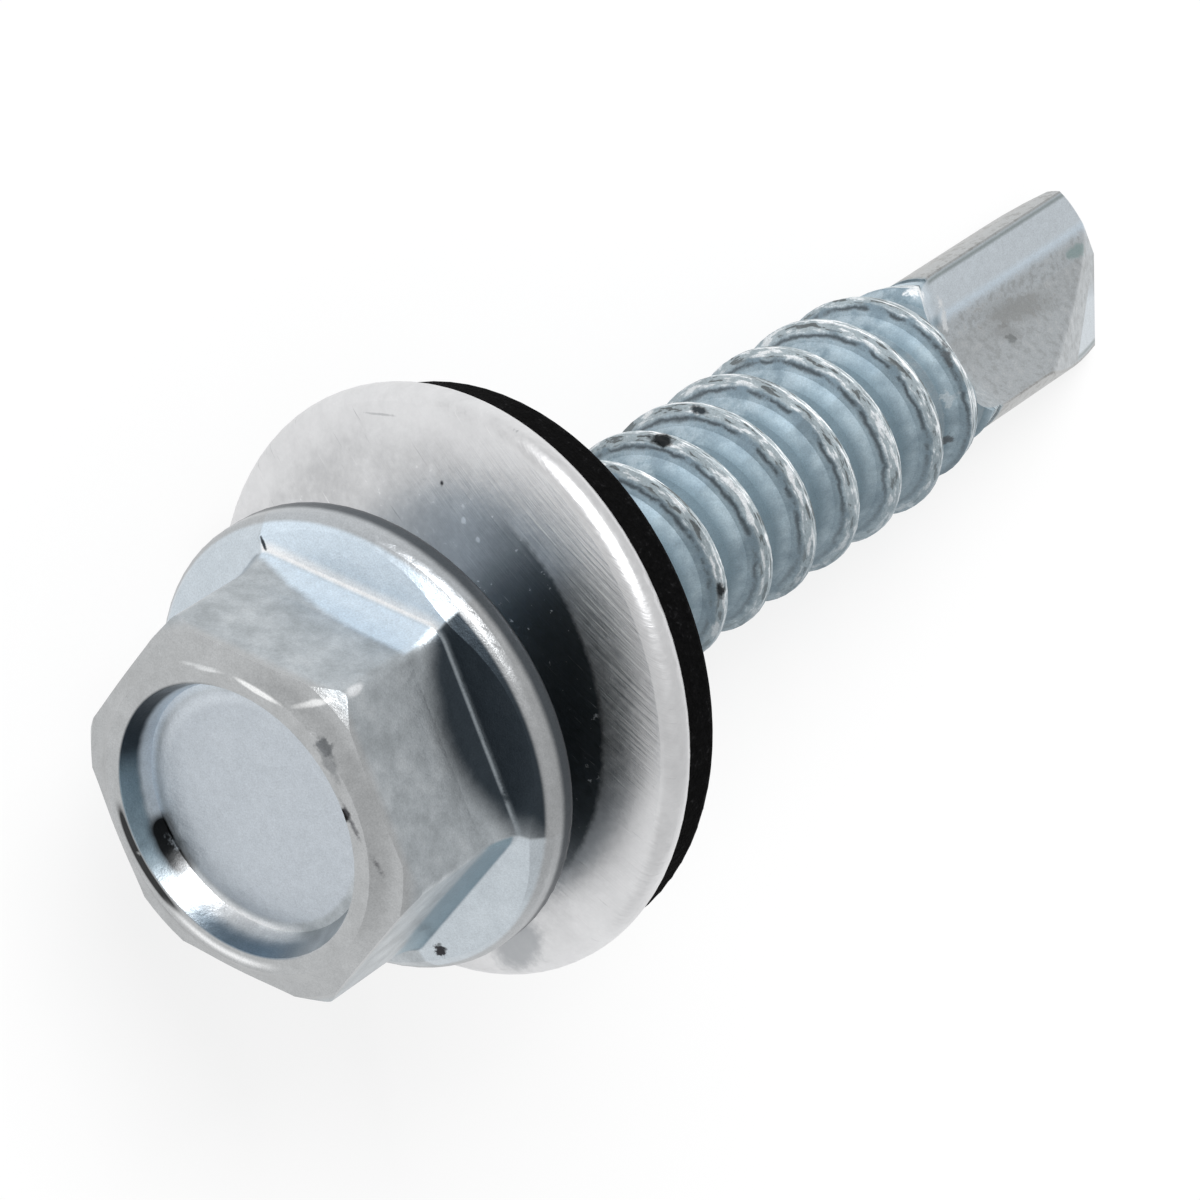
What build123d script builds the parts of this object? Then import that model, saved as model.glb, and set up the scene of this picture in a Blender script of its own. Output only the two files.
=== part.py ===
"""Self drilling screw with a hexagon flange head and a captive bonded sealing washer.

Three real pieces: the one-piece steel screw, the dished metal washer and the rubber
seal bonded under it. The screw lies as it comes to rest: on the rim of its washer and
on two corners of its drill point, with the point slightly lower than the head.

Each piece is built in the screw's own frame: Z along the axis, from the bearing face
of the flange (0) towards the drill point, the head below it at negative stations, X
across the two lands of the drill point. lay_down() then turns it into the resting
frame: the same origin, +Z up, +X level, the way the point looks. Millimetres.
"""

from build123d import *
from math import cos, pi, radians, sin, sqrt, tan
import os

# ---- head and flange ------------------------------------------------------------
ACROSS_FLATS = 8.0
HEAD_HEIGHT = 4.9
HEAD_TURN = 15.0            # a hexagon corner, counted from the land of the drill point
HEX_CORNER_ROUND = 0.32
FLARE_RADIUS = 2.0          # each flat curves out like this at its foot
FLARE_ANGLE = 27.0
CREASE_ROUND = 0.14         # of the hollow where a flat's flare meets its facet
CROWN_RADIUS = 0.9          # rounding of the top rim, which then runs on as a cone
CROWN_ANGLE = 48.0
CROWN_INSET = 0.375         # the rounding starts this far inside the flats
FLANGE_DIAMETER = 10.9
FLANGE_RIM = 1.0
FLANGE_SLOPE = 14.0         # of the six facets on top of the flange
FLANGE_BEVEL = 0.34         # bevel between the rim and the facets
FLANGE_RIM_ROUND = 0.28
RIM_WIDTH = 0.4             # of the flat ring between the rounding and the recess
RECESS_DRAFT = 0.275        # the recess's wall leans in by this much
RECESS_DEPTH = 0.72
RECESS_LIP_ROUND = 0.15
RECESS_FLOOR_ROUND = 0.34

# ---- shank and thread -----------------------------------------------------------
NECK_DIAMETER = 4.2
NECK_LENGTH = 5.0
ROOT_DIAMETER = 4.1
CREST_DIAMETER = 5.4
CREST_WIDTH = 0.14
RIDGE_FOOT = 1.4            # width of the thread's ridge where it leaves the root
FLANK_ANGLE = 28.0          # of each flank near the crest
FLANK_KNEE = 0.3            # share of the ridge's height where its flanks spread out
PITCH = 1.8
THREAD_START = 3.4          # station where the helix passes the X axis
THREAD_LEAD = 1.5           # length over which the first turn rises from the neck
THREAD_FADE = 3.1           # length over which the last turns sink into the shank

# ---- drill point ----------------------------------------------------------------
SCREW_LENGTH = 29.7         # bearing face to the very tip
POINT_DIAMETER = 4.2
POINT_SHOULDER = 22.3       # where the drill body takes over from the thread
TIP_ANGLE = 125.0
LAND_ANGLE = 56.0           # of each of the two lands, seen along the axis
WEB_THICKNESS = 0.95
FLUTE_FLOOR_OFFSET = 0.45   # a flute's floor starts this far off the middle
FLUTE_FLOOR_RISE = 0.04     # of the floor there, over its deepest line
FLUTE_DEEPEST = -0.2        # where a flute is deepest, across the point
FLUTE_WALL = (1.15, 0.80)   # a point of the short wall beside the cutting edge
FLUTE_SLOPE = (-0.95, 0.62)  # a point of the broad slope on the other side
FLUTE_SHANK_STATION = 22.8  # here a flute turns from straight into its run-out
FLUTE_RUNOUT = 2.8          # radius of the curve by which a flute leaves the shank
RELIEF_ANGLE = 19.0         # between each relief face of the tip and the axis
RELIEF_ROUND = 0.3          # of the edge between a relief face and a flute

# ---- washer and seal ------------------------------------------------------------
WASHER_DIAMETER = 13.7
WASHER_THICKNESS = 0.9
WASHER_DISH_RADIUS = 29.2   # the sheet is dished to this curve, its dome towards the head
WASHER_PLAY = 0.7           # the washer's bore is this much wider than the neck
WASHER_BORE_ROUND = 0.3
WASHER_RIM_ROUND = 0.4
SEAL_INSET = 0.3            # the seal's rim lies this far inside the washer's
SEAL_THICKNESS = 1.1
SEAL_PLAY = 0.6
SEAL_RIM_ROUND = 0.3
WASHER_STATION = 2.55       # of the middle of the washer's rim
WASHER_LEAN = 7.5           # the loose washer hangs this much askew on the neck
WASHER_RIDE = 0.1           # its middle lies this far above the screw's axis

# ---- overlaps and clearances of the cutting shapes -----------------------------------
SUNK = 0.08                 # the ridge's foot reaches this far under the root surface
CLEAR = 0.5                 # cutters stand this far clear of what they cut
FLUTE_TURN = 88             # arc of the run-out's cutter, enough to leave the crests

# ---- worked out from the sizes above ----------------------------------------------
flat_distance = ACROSS_FLATS / 2
crown_radius = flat_distance - CROWN_INSET
recess_radius = crown_radius - RIM_WIDTH
recess_floor_radius = recess_radius - RECESS_DRAFT
flange_radius = FLANGE_DIAMETER / 2
neck_radius = NECK_DIAMETER / 2
root_radius = ROOT_DIAMETER / 2
crest_radius = CREST_DIAMETER / 2
point_radius = POINT_DIAMETER / 2
clear_radius = crest_radius + CLEAR
flute_mouth = crest_radius + CLEAR / 2
washer_radius = WASHER_DIAMETER / 2
washer_bore_radius = (NECK_DIAMETER + WASHER_PLAY) / 2
seal_radius = washer_radius - SEAL_INSET
seal_bore_radius = (NECK_DIAMETER + SEAL_PLAY) / 2
land_half = radians(LAND_ANGLE / 2)
cone_height = point_radius / tan(radians(TIP_ANGLE / 2))
relief_slope = 1 / tan(radians(RELIEF_ANGLE))
thread_rise = NECK_LENGTH + THREAD_LEAD
thread_top = POINT_SHOULDER - THREAD_FADE
relief_drop = point_radius * sin(2 * land_half) * relief_slope


def land_corner(turn, station):
    """A corner of a land, at a turn about the axis and a station along it."""
    return Vector(point_radius * cos(turn), point_radius * sin(turn), station)


def washer_plane():
    """The washer's own frame: its Z runs along its axis, away from the head."""
    lean = radians(WASHER_LEAN)
    return Plane(
        origin=(0, WASHER_RIDE, WASHER_STATION),
        x_dir=(cos(lean), 0, sin(lean)),
        z_dir=(-sin(lean), 0, cos(lean)),
    )


def lowest_rim_point(down):
    """The point of the rounded rim of the washer, or of the seal, that lies furthest down."""
    frame = washer_plane()
    seal_rim = WASHER_THICKNESS / 2 + SEAL_THICKNESS - SEAL_RIM_ROUND
    rims = [
        (0.0, washer_radius, WASHER_RIM_ROUND),
        (seal_rim, seal_radius, SEAL_RIM_ROUND),
    ]
    outward = (down - frame.z_dir * down.dot(frame.z_dir)).normalized()
    points = [
        frame.origin + frame.z_dir * station + outward * (radius - rounding) + down * rounding
        for station, radius, rounding in rims
    ]
    return max(points, key=lambda point: point.dot(down))


def resting_up():
    """The direction that points up when the screw lies at rest.

    It lies on three points: the leading corner of one land, the trailing corner of the
    other land, where its relief face ends, and the rim of the washer.
    """
    leading = land_corner(pi + land_half, SCREW_LENGTH - cone_height)
    trailing = land_corner(-land_half, SCREW_LENGTH - relief_drop)
    up = Vector(0, 1, 0)
    for _ in range(12):
        rim = lowest_rim_point(up * -1)
        up = (leading - rim).cross(trailing - rim).normalized()
        if up.Y < 0:
            up = up * -1
    return up


def lay_down(piece):
    """Turns a finished piece from the screw's own frame into the resting frame."""
    up = resting_up()
    along = Vector(0, 0, 1)
    level = Plane(origin=(0, 0, 0), x_dir=along - up * up.Z, z_dir=up)
    return piece.moved(level.location.inverse())


# ---- head: a turned blank, then six sides cut at once into flats and facets --------
flare_out = FLARE_RADIUS * (1 - cos(radians(FLARE_ANGLE)))
flare_half = FLARE_RADIUS * (1 - cos(radians(FLARE_ANGLE / 2)))
facet_fall = tan(radians(FLANGE_SLOPE))
flare_foot = -FLANGE_RIM - (flange_radius - flat_distance - flare_out) * facet_fall
flare_top = flare_foot - FLARE_RADIUS * sin(radians(FLARE_ANGLE))
flare_mid = flare_top + FLARE_RADIUS * sin(radians(FLARE_ANGLE / 2))
waste_out = flange_radius + 4 * CLEAR - flat_distance
waste_top = -HEAD_HEIGHT - CLEAR

# what is cut away beside one flat: across is the distance from the middle of the
# rounded hexagon corner, so that the same outline also turns around the corner
with BuildSketch() as side_waste:
    with BuildLine():
        Polyline(
            (HEX_CORNER_ROUND + flare_out, flare_foot),
            (HEX_CORNER_ROUND + waste_out, flare_foot + (waste_out - flare_out) * facet_fall),
            (HEX_CORNER_ROUND + waste_out, waste_top),
            (HEX_CORNER_ROUND, waste_top),
            (HEX_CORNER_ROUND, flare_top),
        )
        ThreePointArc(
            (HEX_CORNER_ROUND, flare_top),
            (HEX_CORNER_ROUND + flare_half, flare_mid),
            (HEX_CORNER_ROUND + flare_out, flare_foot),
        )
    make_face()
    crease = side_waste.vertices().sort_by_distance(
        (HEX_CORNER_ROUND + flare_out, flare_foot)
    )[0]
    fillet(crease, CREASE_ROUND)

with BuildPart() as head:
    crown_edge = crown_radius + CROWN_RADIUS * sin(radians(CROWN_ANGLE))
    crown_drop = CROWN_RADIUS * (1 - cos(radians(CROWN_ANGLE)))
    blank_radius = (flat_distance + flare_out) / cos(radians(30)) + CLEAR / 4
    cone_drop = (blank_radius - crown_edge) * tan(radians(CROWN_ANGLE))
    bevel_end = -FLANGE_RIM - FLANGE_BEVEL
    with BuildSketch(Plane.XZ) as blank:
        with BuildLine():
            Polyline(
                (0, RECESS_DEPTH - HEAD_HEIGHT),
                (0, 0),
                (flange_radius, 0),
                (flange_radius, FLANGE_BEVEL / 2 - FLANGE_RIM),
                (blank_radius, bevel_end),
                (blank_radius, crown_drop + cone_drop - HEAD_HEIGHT),
                (crown_edge, crown_drop - HEAD_HEIGHT),
            )
            RadiusArc(
                (crown_edge, crown_drop - HEAD_HEIGHT),
                (crown_radius, -HEAD_HEIGHT),
                -CROWN_RADIUS,
            )
            Polyline(
                (crown_radius, -HEAD_HEIGHT),
                (recess_radius, -HEAD_HEIGHT),
                (recess_floor_radius, RECESS_DEPTH - HEAD_HEIGHT),
                (0, RECESS_DEPTH - HEAD_HEIGHT),
            )
        make_face()
        fillet(blank.vertices().group_by(Axis.X)[-1], FLANGE_RIM_ROUND)
        recess_lip = (recess_radius, 0, -HEAD_HEIGHT)
        fillet(blank.vertices().sort_by_distance(recess_lip)[0], RECESS_LIP_ROUND)
        recess_foot = (recess_floor_radius, 0, RECESS_DEPTH - HEAD_HEIGHT)
        fillet(blank.vertices().sort_by_distance(recess_foot)[0], RECESS_FLOOR_ROUND)
    revolve(axis=Axis.Z)

    corner_reach = (flat_distance - HEX_CORNER_ROUND) / cos(radians(30))
    flat_run = 2 * (flat_distance - HEX_CORNER_ROUND) * tan(radians(30))
    for side in range(6):
        facing = radians(HEAD_TURN + 30 + 60 * side)
        corner = facing + radians(30)
        middle = (corner_reach * cos(corner), corner_reach * sin(corner), 0)
        beside = Plane(
            origin=middle,
            x_dir=(cos(facing), sin(facing), 0),
            z_dir=(sin(facing), -cos(facing), 0),
        )
        with BuildSketch(beside) as waste:
            add(side_waste.sketch)
        extrude(amount=flat_run, mode=Mode.SUBTRACT)
        revolve(
            waste.sketch,
            axis=Axis(middle, (0, 0, 1)),
            revolution_arc=60,
            mode=Mode.SUBTRACT,
        )

# ---- thread: a core and one helical ridge, trimmed where it rises and fades ----------
with BuildPart() as thread:
    with BuildSketch(Plane(origin=(0, 0, THREAD_START - PITCH), z_dir=(0, 0, 1))):
        Circle(root_radius)
    extrude(amount=POINT_SHOULDER + 2 * PITCH - THREAD_START)
    with BuildLine() as helix:
        Helix(
            pitch=PITCH,
            height=POINT_SHOULDER + CLEAR - THREAD_START,
            radius=root_radius,
            center=(0, 0, THREAD_START),
        )
    with BuildSketch(Plane(origin=helix.line @ 0, x_dir=(1, 0, 0), z_dir=helix.line % 0)):
        with BuildLine():
            ridge_height = crest_radius - root_radius
            knee = ridge_height * FLANK_KNEE
            knee_half = CREST_WIDTH / 2 + (ridge_height - knee) * tan(radians(FLANK_ANGLE))
            foot_slope = (RIDGE_FOOT / 2 - knee_half) / knee
            sunk_half = RIDGE_FOOT / 2 + SUNK * foot_slope
            Polyline(
                (-SUNK, -sunk_half),
                (knee, -knee_half),
                (ridge_height, -CREST_WIDTH / 2),
                (ridge_height, CREST_WIDTH / 2),
                (knee, knee_half),
                (-SUNK, sunk_half),
                close=True,
            )
        make_face()
    sweep(path=helix.line, is_frenet=True)
    rise = (crest_radius - neck_radius + SUNK) / (THREAD_LEAD + SUNK)
    fade = (crest_radius - point_radius + SUNK) / (THREAD_FADE + SUNK)
    with BuildSketch(Plane.XZ):
        Polygon(
            (0, 0),
            (clear_radius, 0),
            (clear_radius, thread_rise + (clear_radius - crest_radius) / rise),
            (neck_radius - SUNK, NECK_LENGTH - SUNK),
            (0, NECK_LENGTH - SUNK),
            align=None,
        )
        Polygon(
            (0, POINT_SHOULDER + SUNK),
            (point_radius - SUNK, POINT_SHOULDER + SUNK),
            (clear_radius, thread_top - (clear_radius - crest_radius) / fade),
            (clear_radius, SCREW_LENGTH),
            (0, SCREW_LENGTH),
            align=None,
        )
    revolve(axis=Axis.Z, mode=Mode.SUBTRACT)

# ---- screw: head, neck, thread and drill body made into one, then the point pinched --
with BuildPart() as screw:
    add(head.part)
    with BuildSketch(Plane.XZ):
        Polygon(
            (0, -FLANGE_RIM / 2),
            (neck_radius, -FLANGE_RIM / 2),
            (neck_radius, NECK_LENGTH),
            (0, NECK_LENGTH),
            align=None,
        )
        Polygon(
            (0, POINT_SHOULDER),
            (point_radius, POINT_SHOULDER),
            (point_radius, SCREW_LENGTH - cone_height),
            (0, SCREW_LENGTH),
            align=None,
        )
    revolve(axis=Axis.Z)
    add(thread.part)

    edge_x = point_radius * cos(land_half)
    edge_y = point_radius * sin(land_half)
    spread = clear_radius / point_radius
    for turn in (0, pi):
        mouth = Plane(
            origin=(0, 0, FLUTE_SHANK_STATION),
            x_dir=(cos(turn), sin(turn), 0),
            z_dir=(0, 0, 1),
        )
        with BuildSketch(mouth) as groove:
            with BuildLine():
                Spline(
                    (edge_x, edge_y),
                    FLUTE_WALL,
                    (FLUTE_FLOOR_OFFSET, WEB_THICKNESS / 2 + FLUTE_FLOOR_RISE),
                    (FLUTE_DEEPEST, WEB_THICKNESS / 2),
                    FLUTE_SLOPE,
                    (-edge_x, edge_y),
                )
                Polyline(
                    (-edge_x, edge_y),
                    (-edge_x * spread, edge_y * spread),
                    (-edge_x * spread, flute_mouth),
                    (edge_x * spread, flute_mouth),
                    (edge_x * spread, edge_y * spread),
                    (edge_x, edge_y),
                )
            make_face()
        extrude(amount=SCREW_LENGTH + CLEAR - FLUTE_SHANK_STATION, mode=Mode.SUBTRACT)
        bend_axis = Axis(
            mouth.from_local_coords((0, WEB_THICKNESS / 2 + FLUTE_RUNOUT, 0)),
            mouth.x_dir,
        )
        revolve(groove.sketch, axis=bend_axis, revolution_arc=FLUTE_TURN, mode=Mode.SUBTRACT)

    along_edges = Vector(cos(land_half), sin(land_half), 0)
    relief_frame = Plane(
        origin=(0, 0, SCREW_LENGTH),
        x_dir=(-sin(land_half), cos(land_half), 0),
        z_dir=along_edges,
    )
    with BuildSketch(relief_frame):
        Polygon(
            (0, 0),
            (clear_radius, -clear_radius * relief_slope),
            (clear_radius, CLEAR),
            (-clear_radius, CLEAR),
            (-clear_radius, -clear_radius * relief_slope),
            align=None,
        )
    extrude(amount=clear_radius, both=True, mode=Mode.SUBTRACT)
    relief_edges = [
        edge
        for edge in screw.edges().filter_by(GeomType.BSPLINE)
        if edge.center().Z > SCREW_LENGTH - relief_drop and edge.length > POINT_DIAMETER
    ]
    fillet(relief_edges, RELIEF_ROUND)

# ---- metal washer and the seal bonded under it ---------------------------------------
def dome(radius, lift):
    """A point of the dished sheet at a radius, on the surface that is lifted this far."""
    rim_height = sqrt(WASHER_DISH_RADIUS**2 - washer_radius**2)
    return (radius, lift + rim_height - sqrt(WASHER_DISH_RADIUS**2 - radius**2))


def dished(inner, outer, lift):
    """An arc of the dished sheet's curve, from one radius out to another."""
    return ThreePointArc(dome(inner, lift), dome((inner + outer) / 2, lift), dome(outer, lift))


half_sheet = WASHER_THICKNESS / 2
with BuildPart() as metal_washer:
    with BuildSketch(Plane.XZ) as sheet:
        with BuildLine():
            head_side = dished(washer_bore_radius, washer_radius, -half_sheet)
            seal_side = dished(washer_bore_radius, washer_radius, half_sheet)
            Line(head_side @ 0, seal_side @ 0)
            Line(head_side @ 1, seal_side @ 1)
        make_face()
        fillet(sheet.vertices().group_by(Axis.X)[-1], WASHER_RIM_ROUND)
        fillet(sheet.vertices().sort_by_distance(head_side @ 0)[0], WASHER_BORE_ROUND)
    revolve(axis=Axis.Z)

seal_under = half_sheet + SEAL_THICKNESS
with BuildPart() as rubber_seal:
    with BuildSketch(Plane.XZ) as ring:
        with BuildLine():
            bonded = dished(seal_bore_radius, seal_radius, half_sheet)
            pressed = dished(seal_bore_radius, seal_radius, seal_under)
            Line(bonded @ 0, pressed @ 0)
            Line(bonded @ 1, pressed @ 1)
        make_face()
        fillet(ring.vertices().sort_by_distance(pressed @ 1)[0], SEAL_RIM_ROUND)
    revolve(axis=Axis.Z)

# ---- the three pieces in their resting places ----------------------------------------
washer_place = washer_plane().location
screw.part = lay_down(screw.part)
screw.part.label = "screw"
metal_washer.part = lay_down(washer_place * metal_washer.part)
metal_washer.part.label = "metal_washer"
rubber_seal.part = lay_down(washer_place * rubber_seal.part)
rubber_seal.part.label = "rubber_seal"

os.makedirs("parts", exist_ok=True)
for piece in (screw, metal_washer, rubber_seal):
    export_step(piece.part, f"parts/{piece.part.label}.step")
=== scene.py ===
"""Self drilling screw with a bonded sealing washer: its finishes, floor, light and camera.

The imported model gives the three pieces. This script dresses the zinc-plated screw, the
rolled washer sheet and the moulded rubber seal, lays them on a pale floor and sets the
studio around them. All places are in the frame in which the screw lies at rest: those of
the finishes in millimetres, the others in metres.
"""

import logging
import math
from dataclasses import dataclass
from enum import Enum
from typing import Any, Union

import bpy
from mathutils import Matrix, Vector


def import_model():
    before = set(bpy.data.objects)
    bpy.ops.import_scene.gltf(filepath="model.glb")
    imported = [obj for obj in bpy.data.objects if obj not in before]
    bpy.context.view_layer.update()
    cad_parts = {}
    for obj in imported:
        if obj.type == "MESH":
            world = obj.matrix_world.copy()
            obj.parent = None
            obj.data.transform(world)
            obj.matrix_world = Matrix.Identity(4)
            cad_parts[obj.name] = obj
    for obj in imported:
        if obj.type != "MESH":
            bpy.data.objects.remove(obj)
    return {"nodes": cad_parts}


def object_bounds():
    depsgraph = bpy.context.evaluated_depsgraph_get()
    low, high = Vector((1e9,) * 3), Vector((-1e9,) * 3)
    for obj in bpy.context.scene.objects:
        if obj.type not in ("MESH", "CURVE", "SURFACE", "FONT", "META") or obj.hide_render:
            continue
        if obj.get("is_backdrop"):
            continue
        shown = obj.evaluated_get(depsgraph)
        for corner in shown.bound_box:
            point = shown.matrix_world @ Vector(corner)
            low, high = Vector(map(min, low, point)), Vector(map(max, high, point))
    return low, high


log = logging.getLogger("self_drilling_screw")

Triple = tuple[float, float, float]
Number = Union[int, float]
Span = tuple[float, float]
Stops = tuple[tuple[float, Triple], ...]

MM = 0.001              # one millimetre, in metres
NOISE_MIDDLE = 0.5      # a noise swings about this value
HALF_SIDE = 30.0        # degrees from a corner of the head to the middle of a side
SIDE_TURN = 60.0        # degrees from one side of the head to the next
QUARTER_TURN = 90.0
MIX_FACTOR, MIX_BELOW, MIX_ABOVE = 0, 6, 7      # a Mix node's inputs for colours
MIXED = 2                                       # and its output

ICE: Triple = (0.72, 0.83, 0.93)
STEEL_BLUE: Triple = (0.20, 0.29, 0.35)
NIGHT: Triple = (0.025, 0.035, 0.045)
NEAR_BLACK: Triple = (0.012, 0.013, 0.014)
WHITE: Triple = (0.93, 0.94, 0.95)
CROWN_HIGHLIGHT: Triple = (0.95, 0.96, 0.96)
PALE_SCRATCH_AND_SHEEN: Triple = (0.86, 0.86, 0.87)
PALE_SPECK: Triple = (0.95, 0.95, 0.96)


class Node(Enum):
    """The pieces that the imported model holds."""

    SCREW = "screw"
    WASHER = "metal_washer"
    SEAL = "rubber_seal"


class Side(Enum):
    """The sides of the head that have tones of their own, counted about the axis."""

    LIT = 0
    SHADED = 1
    LOWER = 2
    UPPER = 5


@dataclass(frozen=True)
class Tone:
    """A colour, and how much of it shows where it lies."""

    colour: Triple
    strength: float = 1.0


class Signal:
    """A shader socket that carries a number, with arithmetic that adds Math nodes."""

    def __init__(self, graph: "Graph", socket: bpy.types.NodeSocket) -> None:
        """Keeps the graph and the output socket."""
        self.graph = graph
        self.socket = socket

    def _math(self, operation: str, *values: Any, clamp: bool = False) -> "Signal":
        """Adds one Math node.

        Args:
            operation: the Math node's operation.
            values: its operands, signals or numbers.
            clamp: whether the result is held between 0 and 1.

        Returns:
            The node's result.
        """
        settings = {"operation": operation, "use_clamp": clamp}
        return self.graph.add("ShaderNodeMath", settings, dict(enumerate(values))).out(0)

    def __add__(self, other: Any) -> "Signal":
        """This plus the other."""
        return self._math("ADD", self, other)

    def __radd__(self, other: Number) -> "Signal":
        """A number plus this."""
        return self._math("ADD", other, self)

    def __sub__(self, other: Any) -> "Signal":
        """This minus the other."""
        return self._math("SUBTRACT", self, other)

    def __rsub__(self, other: Number) -> "Signal":
        """A number minus this."""
        return self._math("SUBTRACT", other, self)

    def __mul__(self, other: Any) -> "Signal":
        """This times the other."""
        return self._math("MULTIPLY", self, other)

    def __truediv__(self, other: Any) -> "Signal":
        """This divided by the other."""
        return self._math("DIVIDE", self, other)

    def __abs__(self) -> "Signal":
        """This without its sign."""
        return self._math("ABSOLUTE", self)

    def root(self) -> "Signal":
        """The square root of this."""
        return self._math("SQRT", self)

    def turn_from(self, across: "Signal") -> "Signal":
        """The angle of the point whose height is this, counted from the across axis."""
        return self._math("ARCTAN2", self, across)

    def clamped(self) -> "Signal":
        """This held between 0 and 1."""
        return self._math("ADD", self, 0.0, clamp=True)

    def most(self, other: Any) -> "Signal":
        """The larger of this and the other."""
        return self._math("MAXIMUM", self, other)

    def centred(self) -> "Signal":
        """This noise, moved to swing about 0."""
        return self - NOISE_MIDDLE

    def wrapped(self, period: Number) -> "Signal":
        """How far this lies over the nearest whole multiple of a period."""
        return self - self._math("SNAP", self + period / 2, period)

    def ramp(self, start: Number, end: Number) -> "Signal":
        """A smooth step of this.

        Args:
            start: where the result is 0.
            end: where the result is 1; it may lie below start.

        Returns:
            The step, between 0 and 1.
        """
        settings = {"interpolation_type": "SMOOTHSTEP"}
        low, high = min(start, end), max(start, end)
        to_low, to_high = (0.0, 1.0) if start <= end else (1.0, 0.0)
        sockets = {0: self, 1: low, 2: high, 3: to_low, 4: to_high}
        return self.graph.add("ShaderNodeMapRange", settings, sockets).out(0)

    def bump_at(self, middle: Number, half: Number) -> "Signal":
        """A soft hill of this.

        Args:
            middle: where the result is 1.
            half: how far from the middle it has fallen to 0.

        Returns:
            The hill, between 0 and 1.
        """
        return abs(self - middle).ramp(half, 0.0)


class Colour:
    """A shader socket that carries a colour or a vector."""

    def __init__(self, graph: "Graph", socket: bpy.types.NodeSocket) -> None:
        """Keeps the graph and the output socket."""
        self.graph = graph
        self.socket = socket

    def dot(self, other: Any) -> Signal:
        """The dot product of this and a triple or another vector."""
        settings = {"operation": "DOT_PRODUCT"}
        node = self.graph.add("ShaderNodeVectorMath", settings, {0: self, 1: other})
        return node.out("Value")

    def minus(self, other: Any) -> "Colour":
        """This vector minus a triple or another vector."""
        settings = {"operation": "SUBTRACT"}
        return self.graph.add("ShaderNodeVectorMath", settings, {0: self, 1: other}).colour(0)

    def scaled(self, factor: Number) -> "Colour":
        """This vector times a number."""
        settings = {"operation": "SCALE"}
        node = self.graph.add("ShaderNodeVectorMath", settings, {0: self, "Scale": factor})
        return node.colour(0)

    def shaded(self, factor: Any) -> "Colour":
        """This colour with each of its channels times a signal."""
        grey = self.graph.vector(factor, factor, factor)
        settings = {"operation": "MULTIPLY"}
        return self.graph.add("ShaderNodeVectorMath", settings, {0: self, 1: grey}).colour(0)

    def layered(self, over: Any, amount: Any) -> "Colour":
        """Lays another colour over this one.

        Args:
            over: the colour on top, a triple or another colour.
            amount: how much of it shows, a number or a signal.

        Returns:
            The mixed colour.
        """
        settings = {"data_type": "RGBA", "blend_type": "MIX", "clamp_factor": True}
        sockets = {MIX_FACTOR: amount, MIX_BELOW: self, MIX_ABOVE: over}
        node = self.graph.add("ShaderNodeMix", settings, sockets).node
        return Colour(self.graph, node.outputs[MIXED])

    def toned(self, tone: Tone, amount: Signal) -> "Colour":
        """Lays a tone over this colour.

        Args:
            tone: the colour on top, and its strength.
            amount: where it lies, between 0 and 1.

        Returns:
            The mixed colour.
        """
        return self.layered(tone.colour, amount * tone.strength)


class Placed:
    """A node that has been added, with its outputs as signals."""

    def __init__(self, graph: "Graph", node: bpy.types.Node) -> None:
        """Keeps the graph and the node."""
        self.graph = graph
        self.node = node

    def out(self, name: Union[int, str]) -> Signal:
        """One output as a number."""
        return Signal(self.graph, self.node.outputs[name])

    def colour(self, name: Union[int, str]) -> Colour:
        """One output as a colour or vector."""
        return Colour(self.graph, self.node.outputs[name])


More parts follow.
